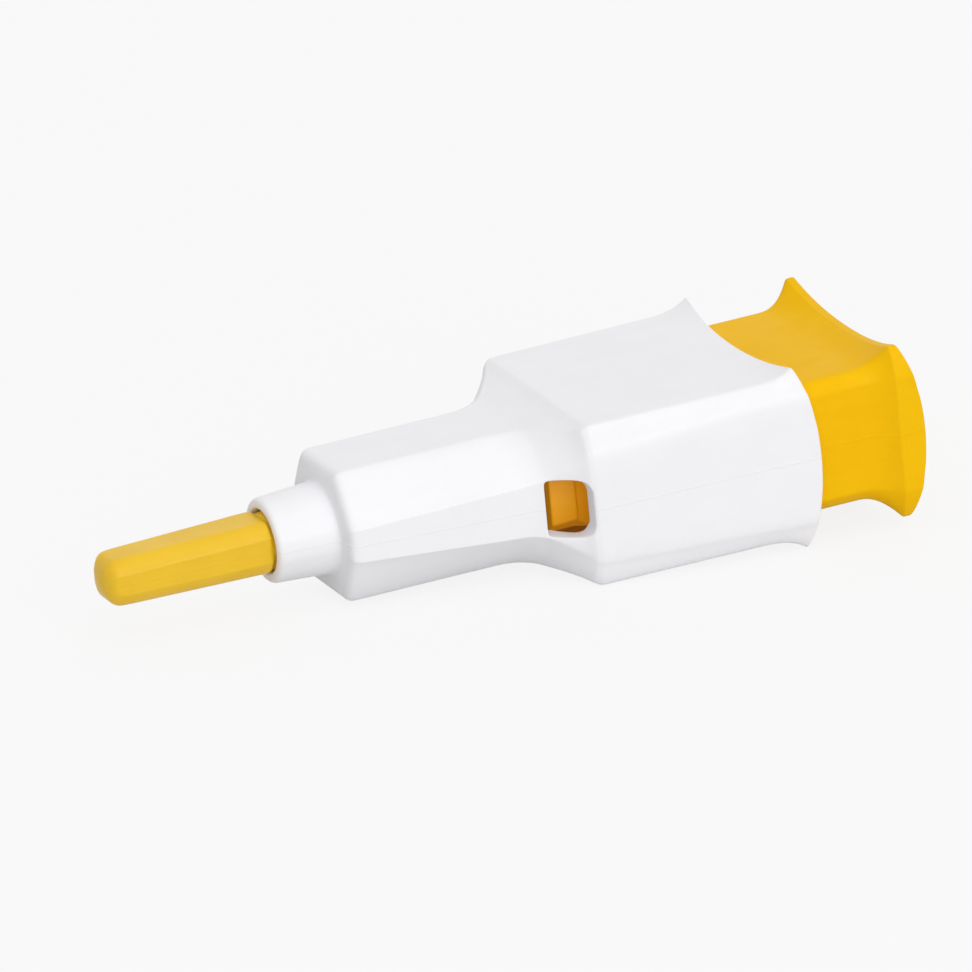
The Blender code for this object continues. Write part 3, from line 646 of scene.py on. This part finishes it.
def make_carrier():
    """The turned stem and flange, with the flange's guide ears and the two latch arms."""
    ear_height = CARRIER_HIGH.z - AXIS_HEIGHT
    x_hole = NEEDLE_HIGH.x + SEAT_GAP
    x_front, x_rear = CARRIER_LOW.x, CARRIER_HIGH.x
    bm = bmesh.new()
    add_turned(bm, [
        (x_hole, 0.0),
        (x_hole, NEEDLE_HOLE_RADIUS),
        (x_front, NEEDLE_HOLE_RADIUS),
        (x_front, STEM_RADIUS - STEM_CHAMFER),
        (x_front + STEM_CHAMFER, STEM_RADIUS),
        (X_FLANGE_FRONT, STEM_RADIUS),
        (X_FLANGE_FRONT, FLANGE_RADIUS),
        (X_FLANGE_REAR, FLANGE_RADIUS),
        (X_FLANGE_REAR, REAR_STEM_RADIUS),
        (x_rear - STEM_CHAMFER, REAR_STEM_RADIUS),
        (x_rear, REAR_STEM_RADIUS - STEM_CHAMFER),
        (x_rear, 0.0),
    ])
    half_ear = EAR_WIDTH / 2
    depth = FLANGE_THICKNESS / 4
    add_box(
        bm, (X_FLANGE_FRONT + depth, -half_ear, -ear_height),
        (X_FLANGE_REAR - depth, half_ear, ear_height),
    )
    half_arm = half_ear - LATCH_ARM_THICKNESS / 4
    for side in (1, -1):
        outer = side * (ear_height - LATCH_ARM_THICKNESS / 8)
        inner = outer - side * LATCH_ARM_THICKNESS
        add_box(
            bm, (X_FLANGE_FRONT + FLANGE_THICKNESS / 2, -half_arm, min(inner, outer)),
            (X_FLANGE_REAR + LATCH_ARM_LENGTH, half_arm, max(inner, outer)),
        )
    return ease_edges(finish_mesh(bm, "needle_carrier", smooth_angle=30), CARRIER_EASED_EDGE)


def make_needle():
    """A solid steel wire with one long ground face and two short ones beside its point."""
    bm = bmesh.new()
    add_turned(bm, [
        (NEEDLE_LOW.x, 0.0), (NEEDLE_LOW.x, NEEDLE_RADIUS), (NEEDLE_HIGH.x, NEEDLE_RADIUS),
        (NEEDLE_HIGH.x, 0.0),
    ])
    slant = radians(NEEDLE_SLANT)
    long_face = Vector((-sin(slant), 0.0, cos(slant)))
    cuts = [(Vector((NEEDLE_LOW.x, 0.0, -NEEDLE_RADIUS)), long_face)]
    for side in (1, -1):
        turn = Matrix.Rotation(side * radians(NEEDLE_SIDE_SLANT), 3, "X")
        start = Vector((NEEDLE_LOW.x, 0.0, -NEEDLE_RADIUS * SIDE_GRIND_START))
        cuts.append((start, turn @ long_face))
    for point, normal in cuts:
        result = bmesh.ops.bisect_plane(
            bm, geom=bm.verts[:] + bm.edges[:] + bm.faces[:], plane_co=point, plane_no=normal,
            dist=MERGE_DISTANCE, clear_outer=True,
        )
        cut = [g for g in result["geom_cut"] if isinstance(g, bmesh.types.BMEdge)]
        bmesh.ops.edgenet_fill(bm, edges=cut)
    return finish_mesh(bm, "ground_needle", smooth_angle=18)


def make_cap():
    """The bar, the sleeve in the nose and the snap neck, with the needle's hole from the rear."""
    x_root = X_NOSE - CAP_FIT
    sleeve_radius = NOSE_BORE_RADIUS - CAP_FIT
    x_snap_rear = CARRIER_LOW.x - SEAT_GAP
    x_snap = x_snap_rear - SNAP_NECK_LENGTH
    snap_radius = NEEDLE_HOLE_RADIUS + SNAP_NECK_WALL
    x_hole_end = NEEDLE_LOW.x - 2 * SEAT_GAP
    hold = CAP_END_ROUND

    def tip_x(share):
        return CAP_LOW.x + CAP_TIP_ROUND * (1 - sqrt(max(0.0, 1 - share**2)))

    rings = []
    for share in CAP_TIP_SHARES:
        rings.append([Vector((tip_x(share), y * share, z * share)) for y, z in outline(CAP_TIP)])
    rings.append(flat_ring(CAP_TIP, CAP_LOW.x + CAP_TIP_ROUND))
    for share in CAP_BAR_STOPS:
        x = CAP_LOW.x + CAP_TIP_ROUND + (x_root - CAP_LOW.x - CAP_TIP_ROUND) * share
        rings.append(flat_ring(between(CAP_TIP, CAP_ROOT, share), x))
    rings.append(flat_ring(CAP_ROOT, x_root - hold))
    end = flat_ring(shrunk(CAP_ROOT, hold / 2), x_root)
    neck = round_ring(x_root + hold / 2, sleeve_radius - hold, CAP_ROOT)
    rings += [end, neck]
    for x, radius in (
        (x_root + 2 * hold, sleeve_radius - hold / 4),
        ((x_root + x_snap) / 2, sleeve_radius),
        (x_snap - 1.5 * hold, sleeve_radius),
        (x_snap - hold / 4, sleeve_radius - hold / 4),
        (x_snap, sleeve_radius - 1.5 * hold),
        (x_snap, snap_radius + hold / 2),
        (x_snap + hold / 2, snap_radius),
        (x_snap_rear - hold / 2, snap_radius),
        (x_snap_rear, snap_radius - hold / 3),
        (x_snap_rear, NEEDLE_HOLE_RADIUS + hold / 3),
        (x_snap_rear - hold / 2, NEEDLE_HOLE_RADIUS),
        ((x_snap_rear + x_hole_end) / 2, NEEDLE_HOLE_RADIUS),
        (x_hole_end + hold / 2, NEEDLE_HOLE_RADIUS),
        (x_hole_end, NEEDLE_HOLE_RADIUS * CAP_HOLE_END_SHARE),
    ):
        rings.append(round_ring(x, radius, CAP_ROOT))
    bm = bmesh.new()
    rows = add_rows(bm, rings)
    add_skin(bm, rows)
    add_lid(bm, rows[0], lambda y, z: tip_x(hypot(y / CAP_TIP.width, z / CAP_TIP.thick)))
    add_lid(bm, rows[-1], lambda y, z: x_hole_end)
    return soften(finish_mesh(bm, "amber_cap"))


def make_spring(name, node, wire, turns):
    """A wound compression spring in its node's place, its first and last turns closed."""
    low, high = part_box(node)
    radius = (high.y - low.y - wire) / 2
    closed_pitch = wire * CLOSED_COIL_PITCH
    open_pitch = (high.x - low.x - wire - 2 * closed_pitch) / (turns - 2)
    bm = bmesh.new()
    rows = []
    x = low.x + wire / 2
    for i in range(turns * COIL_STEPS + 1):
        angle = 2 * pi * i / COIL_STEPS
        outward = Vector((0.0, cos(angle), sin(angle)))
        row = []
        for j in range(WIRE_STEPS):
            turn = 2 * pi * j / WIRE_STEPS
            place = outward * (radius + cos(turn) * wire / 2)
            row.append(bm.verts.new((x + sin(turn) * wire / 2, place.y, place.z)))
        rows.append(row)
        closed = i < COIL_STEPS or i >= (turns - 1) * COIL_STEPS
        x += (closed_pitch if closed else open_pitch) / COIL_STEPS
    add_skin(bm, rows)
    bm.faces.new(rows[0])
    bm.faces.new(rows[-1])
    return finish_mesh(bm, name, smooth_angle=50)


# Finishes. Noise scales are features per millimetre, and relief heights are in millimetres

MILLIMETRE = 0.001
NOISE_ROUGHNESS = 0.55
SPARK_SCALE = 9.0
SPARK_DETAIL = 2.0
CLOUD_SCALE = 0.35
CLOUD_DETAIL = 4.0
FLOW_SCALE = 1.1
FLOW_DETAIL = 3.0
FLOW_STRETCH = (0.12, 1.0, 1.0)
CLOUD_SHARE = 0.6
FLOW_SHARE = 0.4
FLOW_RELIEF = 0.6
MOTTLE_FROM, MOTTLE_TO = 0.38, 0.66
LINE_INNER, LINE_OUTER = 0.02, 0.06
GLOSS_FROM, GLOSS_TO = 0.3, 0.7
PLASTIC_SMOOTHER, PLASTIC_ROUGHER = 0.05, 0.07
STEEL_SMOOTHER, STEEL_ROUGHER = 0.06, 0.08
PLASTIC_IOR = 1.49
WIRE_LINE_SCALE = 14.0
WIRE_LINE_DETAIL = 2.0
WIRE_LINE_RELIEF = 0.002
WIRE_CLOUD_SCALE = 1.6
WIRE_CLOUD_DETAIL = 3.0
WIRE_LINE_FROM, WIRE_LINE_TO = 0.35, 0.65
WIRE_LINE_SHADE = 0.8
MIX_FIRST_COLOUR, MIX_SECOND_COLOUR, MIX_COLOUR_OUTPUT = 6, 7, 2


class Signal:
    """A socket among some nodes. Sums and products of signals add their own Math nodes."""

    def __init__(self, nodes, socket):
        self.nodes = nodes
        self.socket = socket

    def math(self, operation, *values):
        return self.nodes.node("ShaderNodeMath", {"operation": operation}, values)

    def __add__(self, other):
        return self.math("ADD", self, other)

    def __sub__(self, other):
        return self.math("SUBTRACT", self, other)

    def __rsub__(self, other):
        return self.math("SUBTRACT", other, self)

    def __mul__(self, other):
        return self.math("MULTIPLY", self, other)

    def __abs__(self):
        return self.math("ABSOLUTE", self)

    __radd__ = __add__
    __rmul__ = __mul__


class Nodes:
    """The nodes of a material or of the world, with one method for every kind of node."""

    def __init__(self, tree):
        self.tree = tree

    def node(self, kind, settings=None, values=(), output=0):
        """Add a node: its settings first, then its sockets' values or links."""
        made = self.tree.nodes.new(kind)
        for name, value in (settings or {}).items():
            setattr(made, name, value)
        pairs = values.items() if isinstance(values, dict) else enumerate(values)
        for key, value in pairs:
            self.feed(made.inputs[key], value)
        return Signal(self, made.outputs[output])

    def feed(self, socket, value):
        """Link a signal to a socket, or set its value."""
        if isinstance(value, Signal):
            self.tree.links.new(value.socket, socket)
        elif socket.type == "RGBA" and len(value) == 3:
            socket.default_value = (*value, 1.0)
        else:
            socket.default_value = value

    def seen(self):
        """1 where the camera, a reflection or a clear piece looks straight at the surface."""
        path = self.node("ShaderNodeLightPath", output="Is Camera Ray")
        outputs = path.socket.node.outputs
        glossy = Signal(self, outputs["Is Glossy Ray"])
        clear = Signal(self, outputs["Is Transmission Ray"])
        return path.math("MAXIMUM", path.math("MAXIMUM", path, glossy), clear)


class Finish(Nodes):
    """A material under construction."""

    def __init__(self, name):
        self.material = bpy.data.materials.new(name)
        self.material.use_nodes = True
        super().__init__(self.material.node_tree)
        self.shader = self.tree.nodes["Principled BSDF"]

    def set(self, **values):
        """Feed the shader's sockets; Base_Color stands for Base Color."""
        for name, value in values.items():
            self.feed(self.shader.inputs[name.replace("_", " ")], value)

    def place(self):
        """Position on the piece, in millimetres."""
        raw = self.node("ShaderNodeTexCoord", output="Object")
        values = {0: raw, "Scale": 1 / MILLIMETRE}
        return self.node("ShaderNodeVectorMath", {"operation": "SCALE"}, values)

    def above_axis(self, place):
        """How many millimetres a position lies above the device's axis."""
        height = self.node("ShaderNodeSeparateXYZ", values=[place], output="Z")
        return height - AXIS_HEIGHT / MILLIMETRE

    def stretched(self, place, factors):
        """A position squeezed along each axis, for grain that runs one way."""
        return self.node("ShaderNodeVectorMath", {"operation": "MULTIPLY"}, [place, factors])

    def noise(self, place, scale, detail):
        """Cloudy noise from 0 to 1, with features of about 1/scale millimetres."""
        values = {"Vector": place, "Scale": scale, "Detail": detail, "Roughness": NOISE_ROUGHNESS}
        return self.node("ShaderNodeTexNoise", values=values)

    def step(self, value, low, high, start=0.0, end=1.0):
        """A smooth rise from start to end while value goes from low to high."""
        values = {"Value": value, "From Min": low, "From Max": high, "To Min": start, "To Max": end}
        return self.node("ShaderNodeMapRange", {"interpolation_type": "SMOOTHSTEP"}, values)

    def blend(self, share, first, second):
        """The first colour where share is 0, and the second where it is 1."""
        settings = {"data_type": "RGBA"}
        values = {0: share, MIX_FIRST_COLOUR: first, MIX_SECOND_COLOUR: second}
        return self.node("ShaderNodeMix", settings, values, output=MIX_COLOUR_OUTPUT)

    def bump(self, height):
        """A surface relief of a height in millimetres."""
        values = {"Height": height, "Distance": MILLIMETRE, "Strength": 1.0}
        return self.node("ShaderNodeBump", values=values)


def moulded_plastic(name, colour, shade, roughness, grain, line_height):
    """Satin moulded plastic: spark texture, soft mottling, and a parting line on its middle plane.

    colour is the clean colour and shade its slightly darker mottling. grain is the height of the
    spark texture in millimetres, and line_height that of the parting line.
    """
    finish = Finish(name)
    place = finish.place()
    height = finish.above_axis(place)
    spark = finish.noise(place, SPARK_SCALE, SPARK_DETAIL)
    cloud = finish.noise(place, CLOUD_SCALE, CLOUD_DETAIL)
    flow = finish.noise(finish.stretched(place, FLOW_STRETCH), FLOW_SCALE, FLOW_DETAIL)
    mottling = finish.step(cloud * CLOUD_SHARE + flow * FLOW_SHARE, MOTTLE_FROM, MOTTLE_TO)
    parting = 1 - finish.step(abs(height), LINE_INNER, LINE_OUTER)
    relief = spark * grain + flow * (grain * FLOW_RELIEF) + parting * line_height
    wear = spark * 0.5 + cloud * 0.5
    smoothest, roughest = roughness - PLASTIC_SMOOTHER, roughness + PLASTIC_ROUGHER
    finish.set(
        Base_Color=finish.blend(mottling, colour, shade),
        Roughness=finish.step(wear, GLOSS_FROM, GLOSS_TO, smoothest, roughest),
        Normal=finish.bump(relief),
    )
    return finish


def housing_finish():
    """Slightly cool white, satin."""
    finish = moulded_plastic(
        "housing_white_satin", colour=(0.88, 0.876, 0.902), shade=(0.867, 0.863, 0.889),
        roughness=0.46, grain=0.005, line_height=0.012,
    )
    finish.set(IOR=PLASTIC_IOR, Specular_IOR_Level=0.3)
    return finish.material


def button_finish():
    """Deep opaque yellow, satin with little sheen."""
    finish = moulded_plastic(
        "button_yellow_satin", colour=(0.90, 0.515, 0.003), shade=(0.88, 0.49, 0.002),
        roughness=0.44, grain=0.005, line_height=0.010,
    )
    finish.set(IOR=PLASTIC_IOR, Specular_IOR_Level=0.06)
    return finish.material


def leg_painted_shade_glow_finish():
    """The button's yellow deep inside the housing, painted deeper orange as painted shade and given
    a painted glow for the light that the real thin walls let through.
    """
    # Painted shade: the yellow is written deeper orange, the hue it takes in the housing's shade.
    finish = moulded_plastic(
        "leg_yellow_painted_shade_glow", colour=(0.95, 0.46, 0.015), shade=(0.92, 0.42, 0.012),
        roughness=0.42, grain=0.004, line_height=0.0,
    )
    # Painted glow: a weak even emission stands in for light let through the housing's thin walls;
    # the legs are no lamp.
    finish.set(IOR=PLASTIC_IOR, Emission_Color=(0.95, 0.40, 0.012), Emission_Strength=0.2)
    return finish.material


def amber_finish(name):
    """Slightly translucent amber, smoother than the other mouldings."""
    finish = moulded_plastic(
        name, colour=(0.84, 0.535, 0.028), shade=(0.81, 0.50, 0.023),
        roughness=0.33, grain=0.004, line_height=0.008,
    )
    finish.set(
        IOR=PLASTIC_IOR, Specular_IOR_Level=0.22, Subsurface_Weight=0.25, Subsurface_Scale=0.0012,
        Subsurface_Radius=(1.0, 0.55, 0.12),
    )
    return finish.material


def steel_finish(name, colour, roughness, stretch):
    """Bright drawn steel, with fine lines along or round the piece."""
    finish = Finish(name)
    place = finish.place()
    lines = finish.noise(finish.stretched(place, stretch), WIRE_LINE_SCALE, WIRE_LINE_DETAIL)
    cloud = finish.noise(place, WIRE_CLOUD_SCALE, WIRE_CLOUD_DETAIL)
    bright = finish.step(lines, WIRE_LINE_FROM, WIRE_LINE_TO)
    dark = tuple(part * WIRE_LINE_SHADE for part in colour)
    smoothest, roughest = roughness - STEEL_SMOOTHER, roughness + STEEL_ROUGHER
    finish.set(
        Base_Color=finish.blend(bright, dark, colour),
        Roughness=finish.step(cloud, GLOSS_FROM, GLOSS_TO, smoothest, roughest),
        Normal=finish.bump(lines * WIRE_LINE_RELIEF),
        Metallic=1.0,
    )
    return finish.material


# Put the pieces together

def fit_piece(obj, body, slot, material, *nodes):
    """Give a piece its finish and body, and hide the solids that it stands for. The slot argument
    is not used.
    """
    obj.data.materials.append(material)
    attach(obj, body)
    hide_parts(*nodes)


WHITE = housing_finish()
YELLOW = button_finish()
LEG_PAINTED_SHADE_GLOW = leg_painted_shade_glow_finish()
CAP_AMBER = amber_finish("cap_amber")
CARRIER_AMBER = amber_finish("carrier_amber")
NEEDLE_STEEL = steel_finish(
    "ground_steel", colour=(0.66, 0.66, 0.67), roughness=0.22, stretch=(0.1, 1.0, 1.0),
)
SPRING_STEEL = steel_finish(
    "drawn_spring_wire", colour=(0.52, 0.52, 0.54), roughness=0.30, stretch=(1.0, 0.3, 0.3),
)

fit_piece(make_housing(), "housing", "housing_white", WHITE, "housing")
fit_piece(make_button(), "button", "button_yellow", YELLOW, "push_button")
# The legs carry the leg finish's painted shade and painted glow.
fit_piece(make_legs(), "button", "button_yellow", LEG_PAINTED_SHADE_GLOW, "push_button")
fit_piece(make_carrier(), "carrier", "amber_plastic", CARRIER_AMBER, "lancet_carrier")
fit_piece(make_needle(), "carrier", "needle_steel", NEEDLE_STEEL, "needle")
fit_piece(make_cap(), "cap", "amber_plastic", CAP_AMBER, "twist_off_cap")

for node, body, joint, wire, turns in (
    ("return_spring", "housing", "lancet_fire", RETURN_SPRING_WIRE, RETURN_SPRING_TURNS),
    ("drive_spring", "carrier", "button_press", DRIVE_SPRING_WIRE, DRIVE_SPRING_TURNS),
):
    coil = make_spring("wound_" + node, node, wire, turns)
    fit_piece(coil, body, "spring_steel", SPRING_STEEL, node)
    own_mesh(coil)


# Table, light and camera

VIEW_AZIMUTH = -24.45
VIEW_ELEVATION = 19.4
NOSE_DOWN = 5.3
ROLL = -0.7
CAMERA_DISTANCE = 1.44
SENSOR_WIDTH = 36.0
FRAME_PIXELS = 972
PIXELS_PER_METRE = 16300
TABLE_SIZE = 4.0
TABLE_GAP = 0.00003
TABLE_PAINT = (0.65, 0.65, 0.65)
TABLE_WHITENESS = 0.86
WHITE_LIGHT = (1.0, 1.0, 1.0)


def add_table():
    """A table along the rim's lower lips and the body's lower front edge, seen as near white."""
    rear = Vector((X_RIM, 0.0, 0.0))
    front = Vector((X_BODY + BODY_FRONT_ROUND, 0.0, RIM_LIP_HEIGHT))
    along = (rear - front).normalized()
    mesh = bpy.data.meshes.new("table")
    bm = bmesh.new()
    bmesh.ops.create_grid(bm, x_segments=1, y_segments=1, size=TABLE_SIZE / 2)
    bm.to_mesh(mesh)
    bm.free()
    table = bpy.data.objects.new("table", mesh)
    table.location = rear - Vector((0.0, 0.0, TABLE_GAP))
    table.rotation_euler = (0.0, -atan2(along.z, along.x), 0.0)
    bpy.context.scene.collection.objects.link(table)
    finish = Finish("table_white")
    paint = finish.node("ShaderNodeBsdfDiffuse", values={"Color": TABLE_PAINT})
    glow = finish.node("ShaderNodeEmission", values={"Color": WHITE_LIGHT, "Strength": 1.0})
    share = finish.seen() * TABLE_WHITENESS
    mixed = finish.node("ShaderNodeMixShader", values=[share, paint, glow])
    finish.feed(finish.tree.nodes["Material Output"].inputs["Surface"], mixed)
    finish.tree.nodes.remove(finish.shader)
    mesh.materials.append(finish.material)


def add_lamp(name, azimuth, elevation, distance, size, power, gloss=True):
    """A square soft lamp that faces the device; azimuth 0 is on the -Y side.

    Without gloss it lights the pieces and isn't mirrored in them.
    """
    a, e = radians(azimuth), radians(elevation)
    back = Vector((sin(a) * cos(e), -cos(a) * cos(e), sin(e)))
    light = bpy.data.lights.new(name, "AREA")
    light.shape = "SQUARE"
    light.size = size
    light.energy = power
    lamp = bpy.data.objects.new(name, light)
    lamp.location = AXIS + back * distance
    lamp.rotation_mode = "QUATERNION"
    lamp.rotation_quaternion = back.to_track_quat("Z", "Y")
    lamp.visible_glossy = gloss
    bpy.context.scene.collection.objects.link(lamp)


def add_world(ambient):
    """Even light all round, seen as white by the camera and in reflections."""
    world = bpy.data.worlds.new("studio")
    world.use_nodes = True
    studio = Nodes(world.node_tree)
    background = world.node_tree.nodes["Background"]
    studio.feed(background.inputs["Strength"], studio.seen() * (1 - ambient) + ambient)
    studio.feed(background.inputs["Color"], WHITE_LIGHT)
    bpy.context.scene.world = world


def add_camera():
    """The photograph's viewing direction on the device, which lay nose down on its table."""
    a, e = radians(VIEW_AZIMUTH), radians(VIEW_ELEVATION)
    right = Vector((cos(a), sin(a), 0.0))
    up = Vector((-sin(a) * sin(e), cos(a) * sin(e), cos(e)))
    lying = Matrix.Rotation(radians(-NOSE_DOWN), 3, "Y") @ Matrix.Rotation(radians(ROLL), 3, "X")
    axes = Matrix((right, up, right.cross(up))).transposed()
    turn = lying.transposed() @ axes
    data = bpy.data.cameras.new("camera")
    data.sensor_width = SENSOR_WIDTH
    data.lens = SENSOR_WIDTH * PIXELS_PER_METRE * CAMERA_DISTANCE / FRAME_PIXELS
    camera = bpy.data.objects.new("camera", data)
    target = Vector((0.0, 0.0, AXIS_HEIGHT))
    camera.matrix_world = Matrix.Translation(target + turn.col[2] * CAMERA_DISTANCE) @ turn.to_4x4()
    data.clip_start = CAMERA_DISTANCE / 10
    data.clip_end = TABLE_SIZE * 4
    bpy.context.scene.collection.objects.link(camera)
    bpy.context.scene.camera = camera


add_table()
add_world(ambient=0.55)
add_lamp("key", azimuth=-5, elevation=12, distance=0.9, size=0.9, power=5.7)
add_lamp("top", azimuth=10, elevation=75, distance=0.8, size=0.8, power=1.5, gloss=False)
add_lamp("rear", azimuth=150, elevation=22, distance=0.8, size=0.8, power=1.6, gloss=False)
add_camera()
bpy.context.scene.view_settings.view_transform = "Standard"
